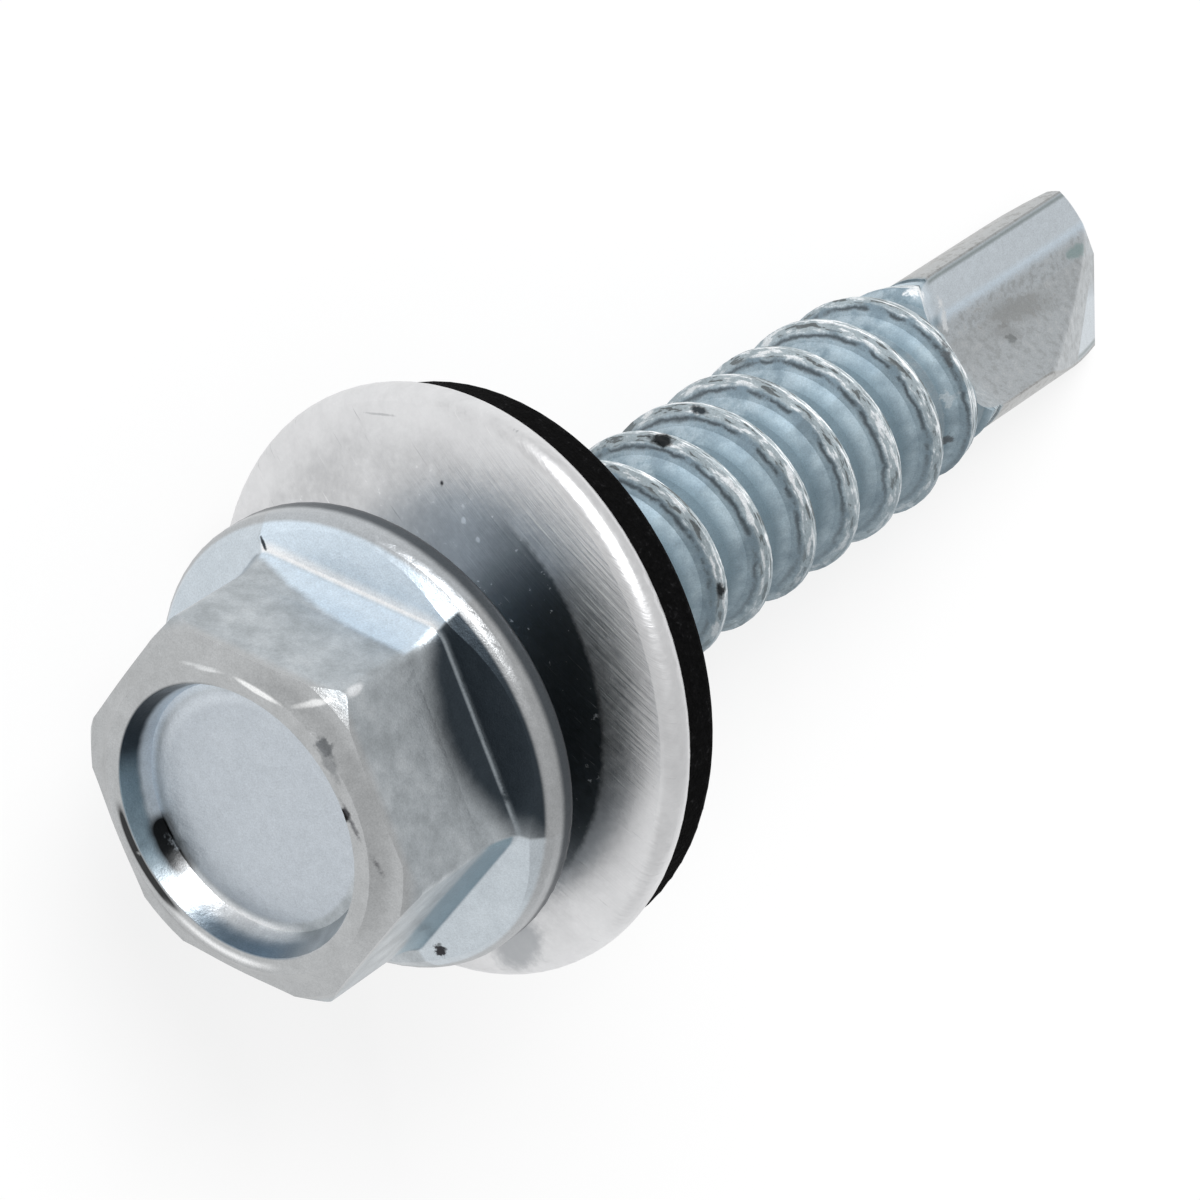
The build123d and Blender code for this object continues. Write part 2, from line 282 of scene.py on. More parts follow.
class Graph:
    """The node tree of one material or world."""

    def __init__(self, tree: bpy.types.NodeTree) -> None:
        """Takes a tree and empties it."""
        self.tree = tree
        tree.nodes.clear()

    def add(self, kind: str, settings: dict[str, Any], sockets: dict[Any, Any]) -> Placed:
        """Adds any node.

        Args:
            kind: the node's type.
            settings: its settings, set before its sockets.
            sockets: values or links of its inputs, by index or name.

        Returns:
            The placed node.
        """
        node = self.tree.nodes.new(kind)
        for name, value in settings.items():
            if name == "stops":
                self._fill_ramp(node.color_ramp, value)
            else:
                setattr(node, name, value)
        for name, value in sockets.items():
            self._feed(node.inputs[name], value)
        return Placed(self, node)

    @staticmethod
    def _fill_ramp(ramp: bpy.types.ColorRamp, stops: Stops) -> None:
        """Gives a colour ramp its stops.

        Args:
            ramp: the colour ramp.
            stops: its stops, each a place and a colour.
        """
        while len(ramp.elements) > 1:
            ramp.elements.remove(ramp.elements[-1])
        ramp.elements[0].position = stops[0][0]
        ramp.elements[0].color = (*stops[0][1], 1.0)
        for place, colour in stops[1:]:
            ramp.elements.new(place).color = (*colour, 1.0)

    def _feed(self, socket: bpy.types.NodeSocket, value: Any) -> None:
        """Links a socket, or sets its value.

        Args:
            socket: the input to feed.
            value: a signal, a colour or a socket to link, or else a plain value.
        """
        if isinstance(value, (Signal, Colour)):
            self.tree.links.new(value.socket, socket)
        elif isinstance(value, bpy.types.NodeSocket):
            self.tree.links.new(value, socket)
        elif isinstance(value, tuple) and len(value) == 3 and socket.type == "RGBA":
            socket.default_value = (*value, 1.0)
        else:
            socket.default_value = value

    def place(self) -> Colour:
        """The place on the piece, in millimetres, in the resting frame."""
        return self.add("ShaderNodeTexCoord", {}, {}).colour("Object").scaled(1 / MM)

    def vector(self, x: Any, y: Any, z: Any) -> Colour:
        """A vector from three numbers or signals."""
        return self.add("ShaderNodeCombineXYZ", {}, {0: x, 1: y, 2: z}).colour(0)

    def noise(self, place: Colour, scale: Number, detail: Number, rough: Number) -> Signal:
        """A cloudy noise between 0 and 1.

        Args:
            place: where it is read.
            scale: how many clouds fit in one unit of place.
            detail: how many finer layers it has.
            rough: how strong those layers are.

        Returns:
            The noise.
        """
        sockets = {"Vector": place, "Scale": scale, "Detail": detail, "Roughness": rough}
        return self.add("ShaderNodeTexNoise", {}, sockets).out(0)

    def tint(self, signal: Signal, stops: Stops) -> Colour:
        """Turns a signal into colours.

        Args:
            signal: the signal.
            stops: the colours, each at a value of the signal.

        Returns:
            The colour.
        """
        return self.add("ShaderNodeValToRGB", {"stops": stops}, {0: signal}).colour(0)

    def bump(self, height: Signal, depth: Number, strength: Number) -> Colour:
        """A bumped surface.

        Args:
            height: its height, between 0 and 1.
            depth: how high a height of 1 stands, in millimetres.
            strength: how much of the bump shows.

        Returns:
            Its normals.
        """
        sockets = {"Height": height, "Distance": depth * MM, "Strength": strength}
        return self.add("ShaderNodeBump", {}, sockets).colour(0)


def material(name: str) -> tuple[bpy.types.Material, Graph]:
    """A new empty node material.

    Args:
        name: the material's name.

    Returns:
        The material and its graph.
    """
    made = bpy.data.materials.new(name)
    made.use_nodes = True
    return made, Graph(made.node_tree)


def surfaced(graph: Graph, surface: Placed) -> None:
    """Sends a shader to the material's output.

    Args:
        graph: the material's graph.
        surface: the shader.
    """
    sockets = {"Surface": surface.node.outputs[0]}
    graph.add("ShaderNodeOutputMaterial", {}, sockets)


def metal_surface(graph: Graph, colour: Colour, rough: Signal, normal: Colour) -> None:
    """Ends a metal finish.

    Args:
        graph: the material's graph.
        colour: the metal's colour.
        rough: its roughness.
        normal: its bumped normals.
    """
    surfaced(graph, graph.add("ShaderNodeBsdfPrincipled", {}, {
        "Base Color": colour, "Metallic": 1.0, "Roughness": rough, "Normal": normal}))


@dataclass(frozen=True)
class ScrewAxes:
    """The screw's own directions in the resting frame, and its main sizes in millimetres."""

    along: Triple = (0.971581, 0.0, -0.236709)
    land: Triple = (-0.061629, 0.965512, -0.25296)
    flute: Triple = (0.228545, 0.260359, 0.938073)
    pitch: float = 1.8
    thread_start: float = 3.4
    head_turn: float = 15.0     # a corner of the head, in degrees about the axis
    side_step: Span = (-0.04, 0.06)


class OwnPlace:
    """A place on the screw in the screw's own terms: station, radius and angle."""

    def __init__(self, place: Colour, axes: ScrewAxes) -> None:
        """Works the place out from the resting frame, in millimetres."""
        self.place = place
        self.axes = axes
        self.station = place.dot(axes.along)
        self.x = place.dot(axes.land)
        self.y = place.dot(axes.flute)
        self.radius = (self.x * self.x + self.y * self.y).root()
        self.angle = self.y.turn_from(self.x)

    def outward(self, degrees: Number) -> Signal:
        """How far the place lies out from the axis.

        Args:
            degrees: the angle about the axis towards which it is measured.

        Returns:
            The distance, in millimetres.
        """
        turn = math.radians(degrees)
        return self.x * math.cos(turn) + self.y * math.sin(turn)

    def facing(self, side: Side) -> float:
        """The angle about the axis at which one side of the head faces, in degrees."""
        return self.axes.head_turn + HALF_SIDE + SIDE_TURN * side.value

    def on_side(self, side: Side) -> Signal:
        """Where one side of the head lies: 1 on it, 0 on the others."""
        facing = self.facing(side)
        beside = self.outward(facing - SIDE_TURN).most(self.outward(facing + SIDE_TURN))
        return (self.outward(facing) - beside).ramp(*self.axes.side_step)

    def past_border(self, side: Side, station: Number, lean: Number, bow: Number) -> Signal:
        """How far towards the flange a place lies from a curved border on one side.

        Args:
            side: the side of the head.
            station: where the border crosses the middle of the side.
            lean: how much the border rises along the side.
            bow: how much it bends at the side's ends.

        Returns:
            The distance, in millimetres.
        """
        beside = self.outward(self.facing(side) + QUARTER_TURN)
        return self.station - beside * lean - beside * beside * bow - station

    def sector(self, middle: Number, half: Number) -> Signal:
        """A soft sector about the axis.

        Args:
            middle: the angle where the result is 1, in degrees.
            half: how far from that angle it has fallen to 0, in degrees.

        Returns:
            The sector, between 0 and 1.
        """
        return (self.outward(middle) / self.radius).ramp(math.cos(math.radians(half)), 1.0)

    def crest_distance(self) -> Signal:
        """How far along the axis the place lies from the nearest thread crest, signed."""
        wound = self.station - self.axes.thread_start
        wound = wound - self.angle * (self.axes.pitch / math.tau)
        return wound.wrapped(self.axes.pitch)


@dataclass(frozen=True)
class Mark:
    """One ragged mark, as a stretched ball of colour: stains, nicks and smudges, and painted
    highlights and shadows.

    Its centre and radius are in millimetres, and run is the way in which it is stretched.
    """

    centre: Triple
    radius: float
    colour: Triple
    strength: float = 1.0
    run: Triple = (1.0, 0.0, 0.0)
    stretch: float = 1.0
    ragged: float = 0.35
    fray: float = 4.0
    fade: Span = (1.0, 0.45)

    def amount(self, place: Colour, noise: Signal) -> Signal:
        """How much of the mark shows at a place.

        Args:
            place: the place, in millimetres.
            noise: a noise that frays its outline.

        Returns:
            The amount, between 0 and its strength.
        """
        offset = place.minus(self.centre)
        run = offset.dot(self.run)
        squashed = 1 - 1 / self.stretch**2
        distance = (offset.dot(offset) - run * run * squashed).most(0.0).root()
        frayed = distance / self.radius + noise.centred() * (self.fray * self.ragged)
        return frayed.ramp(*self.fade) * self.strength


def line_between(start: Triple, end: Triple, radius: float, colour: Triple,
                 strength: float = 1.0, ragged: float = 0.3) -> Mark:
    """A long thin mark from one place to another.

    Args:
        start: one end, in millimetres.
        end: the other end.
        radius: half the line's width.
        colour: its colour.
        strength: how much of it shows.
        ragged: how frayed it is.

    Returns:
        The mark.
    """
    first, last = Vector(start), Vector(end)
    run = (last - first).normalized()
    stretch = max(1.0, (last - first).length / 2 / radius)
    middle = (first + last) / 2
    return Mark(tuple(middle), radius, colour, strength, tuple(run), stretch, ragged)


def stained_and_painted_light(colour: Colour, place: Colour, marks: tuple[Mark, ...], noise: Signal) -> Colour:
    """Lays a finish's marks over its colour.

    Args:
        colour: the finish's colour.
        place: the place, in millimetres.
        marks: the marks, the lowest first.
        noise: a noise that frays their outlines.

    Returns:
        The stained colour.
    """
    for mark in marks:
        colour = colour.layered(mark.colour, mark.amount(place, noise))
    return colour


# In the tones below, a step is where it is 0 and where it is 1, a hill is its middle and
# its half-width, and a sector is its middle angle and half-width in degrees about the
# axis. Stations and radii are in millimetres. Gaps are steps of a noise.


@dataclass(frozen=True)
class HeadTones:
    """The tones of the head's six sides, their flares and the flange.

    A border is its station in the middle of the side, its lean and its bow.
    """

    waver: float = 0.45
    lit_waver: float = 0.6
    body_step: Span = (-0.9, -1.0)
    facet_step: Span = (-1.42, -1.3)
    lit_border: Triple = (-2.1, -0.18, 0.04)
    lit_step: Span = (-0.12, 0.12)
    shaded_border: Triple = (-2.2, 0.05, 0.13)
    shaded_step: Span = (-0.35, 0.45)
    lower_border: Triple = (-2.3, 0.0, 0.05)
    lower_step: Span = (-0.3, 0.2)
    crease_hill: Span = (-1.3, 0.07)
    shaded_crease_hill: Span = (-1.31, 0.045)
    shaded_crease_gaps: Span = (0.3, 0.5)
    rim_out_step: Span = (5.28, 5.36)
    rim_end_step: Span = (0.05, 0.0)
    rim_shade_step: Span = (-0.62, -0.4)
    # The facet, flare and crease tones below are painted reflections and highlights: pale on the
    # upper and lit sides and the lower facet, bluish on the lower flare, dark on the shaded flare.
    # rim_shade is painted shade.
    upper_facet_reflection: Tone = Tone((0.64, 0.71, 0.77), 0.75)
    lit_flare: Tone = Tone(ICE, 0.9)
    lit_facet: Tone = Tone(ICE, 0.85)
    shaded_flare: Tone = Tone(NIGHT, 0.97)
    lower_flare_reflection: Tone = Tone((0.23, 0.33, 0.39), 0.85)
    lower_facet_reflection: Tone = Tone((0.60, 0.66, 0.71), 0.7)
    crease_highlight: Tone = Tone(WHITE)
    shaded_crease_highlight: Tone = Tone((0.36, 0.40, 0.43), 0.8)
    rim: Tone = Tone((0.42, 0.425, 0.43), 0.8)
    rim_shade: Tone = Tone(NIGHT, 0.85)

    def lay(self, colour: Colour, own: OwnPlace, cloud: Signal) -> Colour:
        """Colours the head and the flange.

        Args:
            colour: the plate's own colour.
            own: the place on the screw.
            cloud: a noise that wavers the borders.

        Returns:
            The colour with the head's tones on it.
        """
        waver = cloud.centred() * self.waver
        body = own.station.ramp(*self.body_step)
        facet = own.station.ramp(*self.facet_step)
        crease_highlight = own.station.bump_at(*self.crease_hill)
        lit, shaded = own.on_side(Side.LIT), own.on_side(Side.SHADED)
        lower = own.on_side(Side.LOWER)
        lit_edge = own.past_border(Side.LIT, *self.lit_border) + waver * self.lit_waver
        bright = lit_edge.ramp(*self.lit_step)
        shaded_edge = own.past_border(Side.SHADED, *self.shaded_border) + waver
        dark = shaded_edge.ramp(*self.shaded_step)
        lower_edge = own.past_border(Side.LOWER, *self.lower_border) + waver
        blue = lower_edge.ramp(*self.lower_step)
        # Painted reflections on the sides: pale on the upper and lit sides and the lower facet,
        # bluish on the lower flare, dark on the shaded flare.
        colour = colour.toned(self.upper_facet_reflection, own.on_side(Side.UPPER) * facet)
        colour = colour.toned(self.lit_flare, lit * bright * body * (1.0 - facet))
        colour = colour.toned(self.lit_facet, lit * facet)
        colour = colour.toned(self.shaded_flare, shaded * dark * body)
        colour = colour.toned(self.lower_flare_reflection, lower * blue * (1.0 - facet))
        colour = colour.toned(self.lower_facet_reflection, lower * facet)
        # Painted highlights along the creases at the foot of the lit and shaded sides.
        colour = colour.toned(self.crease_highlight, crease_highlight * lit)
        thin = own.station.bump_at(*self.shaded_crease_hill)
        thin = thin * shaded * cloud.ramp(*self.shaded_crease_gaps)
        colour = colour.toned(self.shaded_crease_highlight, thin)
        rim = own.radius.ramp(*self.rim_out_step) * own.station.ramp(*self.rim_end_step)
        colour = colour.toned(self.rim, rim)
        return colour.toned(self.rim_shade, rim * own.station.ramp(*self.rim_shade_step))


@dataclass(frozen=True)
class RecessTones:
    """The tones of the crown and of the shallow recess in it: floor, foot and wall."""

    top_step: Span = (-3.7, -3.8)
    crown_step: Span = (-4.3, -4.6)
    crown_in_step: Span = (3.18, 3.26)
    crown: Tone = Tone((0.47, 0.472, 0.472), 0.7)
    floor_step: Span = (2.80, 2.66)
    floor: Tone = Tone((0.54, 0.585, 0.635), 0.85)
    # The foot, inner, dark, blue, dim, glint and lip tones are painted reflections and highlights,
    # each in its sector about the axis.
    foot_hill: Span = (2.58, 0.22)
    foot_sector: Span = (-20, 95)
    foot: Tone = Tone((0.66, 0.71, 0.76), 0.7)
    inner_hill: Span = (2.92, 0.24)
    inner_sector: Span = (-30, 100)
    inner: Tone = Tone((0.62, 0.69, 0.76), 0.95)
    outer_in_step: Span = (3.02, 3.09)
    outer_out_step: Span = (3.29, 3.22)
    dark_sector: Span = (-22, 62)
    dark: Tone = Tone(NIGHT)
    blue_sector: Span = (-70, 34)
    blue: Tone = Tone(STEEL_BLUE, 0.8)
    blotch_hill: Span = (2.98, 0.17)
    blotch_sector: Span = (-86, 17)
    blotch_gain: float = 2.0
    blotch_gaps: Span = (0.2, 0.4)
    blotch: Tone = Tone(NEAR_BLACK)
    nick_hill: Span = (3.38, 0.15)
    nick_sector: Span = (-86, 27)
    nick_gain: float = 2.5
    nick_gaps: Span = (0.32, 0.46)
    nick: Tone = Tone(NEAR_BLACK, 0.95)
    dim_sector: Span = (-140, 36)
    dim: Tone = Tone((0.13, 0.19, 0.25), 0.9)
    glint_sector: Span = (-128, 42)
    glint: Tone = Tone(WHITE)
    lip_hill: Span = (3.46, 0.13)
    lip_sector: Span = (-130, 30)
    lip_highlight: Tone = Tone(WHITE, 0.95)

    def lay(self, colour: Colour, own: OwnPlace, cloud: Signal) -> Colour:
        """Colours the crown and the recess.

        Args:
            colour: the colour below.
            own: the place on the screw.
            cloud: a noise that breaks up the blotch and the nick.

        Returns:
            The colour with the recess's tones on it.
        """
        station, radius = own.station, own.radius
        top = station.ramp(*self.top_step)
        crown = station.ramp(*self.crown_step) * radius.ramp(*self.crown_in_step)
        inner = top * radius.bump_at(*self.inner_hill)
        outer = top * radius.ramp(*self.outer_in_step) * radius.ramp(*self.outer_out_step)
        foot = top * radius.bump_at(*self.foot_hill)
        floor = top * radius.ramp(*self.floor_step)
        colour = colour.toned(self.crown, crown)
        colour = colour.toned(self.floor, floor)
        # Painted reflections by sector: pale on the foot and the inner wall, dark and steel-blue
        # on the outer wall.
        colour = colour.toned(self.foot, foot * own.sector(*self.foot_sector))
        colour = colour.toned(self.inner, inner * own.sector(*self.inner_sector))
        colour = colour.toned(self.dark, outer * own.sector(*self.dark_sector))
        colour = colour.toned(self.blue, outer * own.sector(*self.blue_sector))
        blotch = top * radius.bump_at(*self.blotch_hill) * own.sector(*self.blotch_sector)
        blotch = (blotch * self.blotch_gain).clamped() * cloud.ramp(*self.blotch_gaps)
        colour = colour.toned(self.blotch, blotch)
        nick = top * radius.bump_at(*self.nick_hill) * own.sector(*self.nick_sector)
        nick = (nick * self.nick_gain).clamped() * cloud.ramp(*self.nick_gaps)
        colour = colour.toned(self.nick, nick)
        # A painted dim reflection on the outer wall, painted white glints on the inner wall and a
        # painted highlight on the lip.
        colour = colour.toned(self.dim, outer * own.sector(*self.dim_sector))
        colour = colour.toned(self.glint, inner * own.sector(*self.glint_sector))
        lip_highlight = top * radius.bump_at(*self.lip_hill)
        return colour.toned(self.lip_highlight, lip_highlight * own.sector(*self.lip_sector))


@dataclass(frozen=True)
class ThreadTones:
    """The tones of the thread: bluish flanks with painted light on their lit side, painted shade
    in the roots, rough crests with painted highlights and dark lines beside them.
    """

    start_step: Span = (4.6, 5.0)
    end_step: Span = (22.6, 22.2)
    cloud_waver: float = 0.16
    grain_waver: float = 0.04
    flank: Stops = ((0.36, (0.27, 0.35, 0.40)), (0.64, (0.42, 0.51, 0.56)))
    flank_strength: float = 0.85
    root_step: Span = (0.4, 0.75)
    root: Tone = Tone((0.20, 0.275, 0.32), 0.8)
    lit_sector: Span = (14, 48)
    lit_gaps: Span = (0.40, 0.58)
    lit: Tone = Tone((0.53, 0.61, 0.66), 0.7)
    streak_angle: float = 2.4       # the streaks' scale about the axis,
    streak_gap: float = 8.0         # across the ridge
    streak_station: float = 0.6     # and along the axis
    streak: Triple = (1.7, 3.0, 0.6)
    lit_side_sector: Span = (62, 125)
    lit_side_least: float = 0.3         # share of the crest's tones that is left outside the lit sector
    crest_rise_step: Span = (-0.20, -0.14)
    crest_fall_step: Span = (0.20, 0.14)
    crest: Tone = Tone((0.55, 0.60, 0.62), 0.8)
    glint_gaps: Span = (0.50, 0.60)
    glint: Tone = Tone(WHITE, 0.95)
    pit_gaps: Span = (0.44, 0.38)
    pit: Tone = Tone((0.14, 0.15, 0.15), 0.8)
    seam_hill: Span = (-0.22, 0.05)
    seam_gaps: Span = (0.36, 0.52)
    seam: Tone = Tone((0.06, 0.07, 0.08), 0.8)
    edge_hill: Span = (0.21, 0.07)
    edge_gaps: Span = (0.54, 0.40)
    edge: Tone = Tone(NEAR_BLACK, 0.85)

    def lay(self, colour: Colour, own: OwnPlace, cloud: Signal, grain: Signal) -> Colour:
        """Colours the thread.

        Args:
            colour: the colour below.
            own: the place on the screw.
            cloud: a coarse noise.
            grain: a fine noise.

        Returns:
            The colour with the thread's tones on it.
        """
        graph = own.place.graph
        on_shank = own.station.ramp(*self.start_step) * own.station.ramp(*self.end_step)
        gap = own.crest_distance()
        wavered = gap + cloud.centred() * self.cloud_waver
        wavered = wavered + grain.centred() * self.grain_waver
        colour = colour.layered(graph.tint(cloud, self.flank), on_shank * self.flank_strength)
        # Painted shade darkening the thread's roots.
        colour = colour.toned(self.root, on_shank * abs(gap).ramp(*self.root_step))
        lit = own.sector(*self.lit_sector) * cloud.ramp(*self.lit_gaps)
        colour = colour.toned(self.lit, on_shank * lit)
        wound = graph.vector(
            own.angle * self.streak_angle, gap * self.streak_gap,
            own.station * self.streak_station)
        streak = graph.noise(wound, *self.streak)
        # The crest's pale band and its glints are painted highlights that show most on the lit
        # side; the pits and the seam follow them.
        lit_side = own.sector(*self.lit_side_sector) * (1.0 - self.lit_side_least) + self.lit_side_least
        rise = wavered.ramp(*self.crest_rise_step)
        crest = rise * wavered.ramp(*self.crest_fall_step) * lit_side
        colour = colour.toned(self.crest, on_shank * crest)
        colour = colour.toned(self.glint, on_shank * (crest * streak.ramp(*self.glint_gaps)))
        colour = colour.toned(self.pit, on_shank * (crest * streak.ramp(*self.pit_gaps)))
        seam = wavered.bump_at(*self.seam_hill) * cloud.ramp(*self.seam_gaps) * lit_side
        colour = colour.toned(self.seam, on_shank * seam)
        edge = wavered.bump_at(*self.edge_hill) * cloud.ramp(*self.edge_gaps)
        return colour.toned(self.edge, on_shank * edge)


@dataclass(frozen=True)
class PointTones:
    """The tones of the drill point: lands marked by wear, pale flute walls and a dull floor."""

    start_step: Span = (22.2, 22.5)
    flute_in_step: Span = (2.07, 2.0)
    flute_start_step: Span = (17.8, 18.4)
    turned_step: Span = (-0.001, 0.001)     # from one flute's half of the point to the other's
    land: Tone = Tone((0.43, 0.43, 0.42), 0.85)
    wear_gaps: Span = (0.5, 0.62)
    wear: Tone = Tone((0.28, 0.28, 0.27), 0.6)
    wall_step: Span = (0.75, 1.0)
    wall: Tone = Tone((0.64, 0.69, 0.73), 0.85)
    floor_step: Span = (0.85, 0.5)
    floor: Tone = Tone((0.47, 0.495, 0.51), 0.85)
    dull_gaps: Span = (0.46, 0.66)
    dull: Tone = Tone((0.34, 0.355, 0.36), 0.7)
    pale_gaps: Span = (0.46, 0.34)
    pale: Tone = Tone((0.59, 0.61, 0.62), 0.6)
    edge_hill: Span = (1.98, 0.09)
    edge_step: Span = (0.4, 0.9)
    edge: Tone = Tone((0.24, 0.28, 0.28), 0.75)

    def lay(self, colour: Colour, own: OwnPlace, grain: Signal) -> Colour:
        """Colours the drill point.

        Args:
            colour: the colour below.
            own: the place on the screw.
            grain: a fine noise that mottles the tones.

        Returns:
            The colour with the point's tones on it.
        """
        on_point = own.station.ramp(*self.start_step)
        in_flute = own.radius.ramp(*self.flute_in_step)
        in_flute = in_flute * own.station.ramp(*self.flute_start_step)
        # x for one flute and -x for the other, which is the same one turned by half a turn
        across = own.x * (own.y.ramp(*self.turned_step) * 2.0 - 1.0)
        on_land = on_point * (1.0 - in_flute)
        colour = colour.toned(self.land, on_land)
        colour = colour.toned(self.wear, on_land * grain.ramp(*self.wear_gaps))
        colour = colour.toned(self.wall, in_flute * across.ramp(*self.wall_step))
        floor = in_flute * across.ramp(*self.floor_step)
        colour = colour.toned(self.floor, floor)
        colour = colour.toned(self.dull, floor * grain.ramp(*self.dull_gaps))
        colour = colour.toned(self.pale, floor * grain.ramp(*self.pale_gaps))
        edge = own.radius.bump_at(*self.edge_hill) * on_point
        return colour.toned(self.edge, edge * across.ramp(*self.edge_step))


@dataclass(frozen=True)
class ZincPlate:
    """Bright zinc on forged and rolled steel, bluish, with painted reflections and highlights on
    the head and the thread, and painted shade in the thread's roots.

    Each noise is its scale, its detail and its roughness.
    """

    name: str = "zinc_plated_steel"
    axes: ScrewAxes = ScrewAxes()
    head: HeadTones = HeadTones()
    recess: RecessTones = RecessTones()
    thread: ThreadTones = ThreadTones()
    point: PointTones = PointTones()
    cloud: Triple = (1.5, 5.0, 0.62)
    grain: Triple = (4.5, 4.0, 0.62)
    sand: Triple = (26.0, 2.0, 0.6)
    ridges: Triple = (2.4, 4.0, 0.55)
    plate: Stops = (
        (0.34, (0.375, 0.405, 0.425)),
        (0.5, (0.455, 0.49, 0.515)),
        (0.68, (0.55, 0.585, 0.61)),
    )
    least_light: float = 0.62
    sand_light: float = 0.50
    grain_light: float = 0.26
    thread_start_step: Span = (4.4, 5.4)
    thread_end_step: Span = (22.6, 22.0)
    least_rough: float = 0.29
    grain_rough: float = 0.14
    thread_rough: float = 0.42
    sand_bump: float = 0.25
    bump_depth: float = 0.03
    bump_strength: float = 0.5
    marks: tuple[Mark, ...] = (
        # painted highlights along the crown's edge and at one of its corners
        line_between((-4.66, 3.74, 1.12), (-4.41, 3.3, 2.61), 0.08, (0.9, 0.92, 0.93), 0.7, 0.12),
        line_between((-4.41, 3.3, 2.61), (-4.11, 2.37, 3.83), 0.10, CROWN_HIGHLIGHT, 0.95, 0.12),
        line_between((-4.11, 2.37, 3.83), (-3.4, 2.25, 4.82), 0.11, CROWN_HIGHLIGHT, 0.9, 0.12),
        line_between((-3.4, 2.21, 4.82), (-2.6, 2.27, 4.74), 0.15, (0.88, 0.90, 0.92), 0.85, 0.12),
        # smears, nicks and a dark line beside them
        line_between((-3.95, 1.75, 4.35), (-3.97, 0.5, 4.52), 0.22, (0.20, 0.21, 0.22), 0.65),
        Mark((-3.94, 1.38, 4.45), 0.20, (0.12, 0.13, 0.14), 0.6, ragged=0.8),
        Mark((-4.0, -0.15, 4.33), 0.20, (0.01, 0.01, 0.01)),
        line_between((-3.98, 0.3, 4.36), (-3.74, -1.9, 4.52), 0.12, (0.09, 0.09, 0.10), 0.9),
        # nicks and scratches on the flange, and painted shade along one radial crease
        Mark((-1.06, -4.86, 0.86), 0.17, (0.04, 0.04, 0.045), ragged=0.8),
        line_between((-1.06, -4.8, 0.6), (-1.1, -4.5, 1.9), 0.05, (0.2, 0.22, 0.23), 0.8),
        # painted shade along a radial crease of the flange
        line_between((-1.19, 5.3, 0.3), (-1.24, 4.7, 0.45), 0.06, (0.05, 0.06, 0.07)),
        line_between((-0.9, 4.4, 2.3), (-0.5, 3.9, 3.1), 0.05, (0.3, 0.36, 0.42), 0.6, 0.7),
        # painted shadow between the crest lips and the next flanks, on the first turns of the
        # thread
        line_between((10.6, 2.5, -1.9), (10.75, 2.2, -1.1), 0.20, (0.012, 0.014, 0.016), 0.95),
        line_between((12.3, 2.55, -2.4), (12.4, 2.3, -1.8), 0.15, (0.03, 0.04, 0.05), 0.9),
        line_between((9.75, -0.6, 0.2), (9.6, -1.3, 0.1), 0.13, (0.01, 0.01, 0.012), 0.9),
        # torn ends of the last turns, bright with painted highlights
        line_between((20.6, 2.15, -4.05), (21.5, 1.65, -4.55), 0.22, (0.95, 0.96, 0.97), 0.9, 0.6),
        line_between((21.6, 2.0, -5.3), (22.15, 1.2, -4.9), 0.20, (0.90, 0.92, 0.94), 0.9, 0.6),
        line_between((22.15, 1.25, -4.9), (22.0, 0.4, -4.95), 0.16, (0.8, 0.83, 0.85), 0.85, 0.6),
        # spots on the last turns
        line_between((19.95, 1.1, -2.5), (19.85, 0.3, -2.4), 0.14, (0.16, 0.17, 0.18), 0.8, 0.6),
        Mark((19.61, -0.37, -2.61), 0.24, (0.62, 0.66, 0.68), 0.5, ragged=0.8),
        Mark((19.51, -1.36, -3.14), 0.24, (0.12, 0.13, 0.14), 0.85, ragged=0.6),
        # stains on the flute's floor and beside the tip
        line_between((23.2, 0.4, -5.2), (26.4, -0.2, -5.7), 0.40, (0.30, 0.305, 0.30), 0.6, 0.6),
        line_between((23.4, 0.0, -5.2), (24.6, -0.5, -5.2), 0.25, (0.27, 0.275, 0.275), 0.4, 0.8),
        Mark((23.98, -0.48, -5.13), 0.20, (0.17, 0.18, 0.18), 0.6, ragged=0.7),
        line_between((27.3, 0.5, -6.2), (28.4, 0.35, -6.6), 0.22, (0.27, 0.37, 0.37), 0.75, 0.4),
    )

    def make(self) -> bpy.types.Material:
        """Builds the material.

        Returns:
            The material.
        """
        made, g = material(self.name)
        place = g.place()
        own = OwnPlace(place, self.axes)
        cloud = g.noise(place, *self.cloud)
        grain = g.noise(place, *self.grain)
        sand = g.noise(place, *self.sand)
        colour = g.tint(cloud, self.plate)
        colour = self.head.lay(colour, own, cloud)
        colour = self.recess.lay(colour, own, cloud)
        colour = self.thread.lay(colour, own, cloud, grain)
        colour = self.point.lay(colour, own, grain)
        colour = stained_and_painted_light(colour, place, self.marks, grain)
        light = self.least_light + sand * self.sand_light + grain * self.grain_light
        on_thread = own.station.ramp(*self.thread_start_step)
        on_thread = on_thread * own.station.ramp(*self.thread_end_step)
        rough = self.least_rough + grain * self.grain_rough + on_thread * self.thread_rough
        height = sand * self.sand_bump + g.noise(place, *self.ridges)
        normal = g.bump(height, self.bump_depth, self.bump_strength)
        metal_surface(g, colour.shaded(light), rough, normal)
        return made


@dataclass(frozen=True)
class WasherAxes:
    """The washer's middle and directions in the resting frame, in millimetres."""

    middle: Triple = (2.500385, 0.026036, -0.5098)
    along: Triple = (0.971313, -0.126025, -0.201666)
    across: Triple = (0.065715, 0.957252, -0.281692)
    up: Triple = (0.228545, 0.260359, 0.938073)


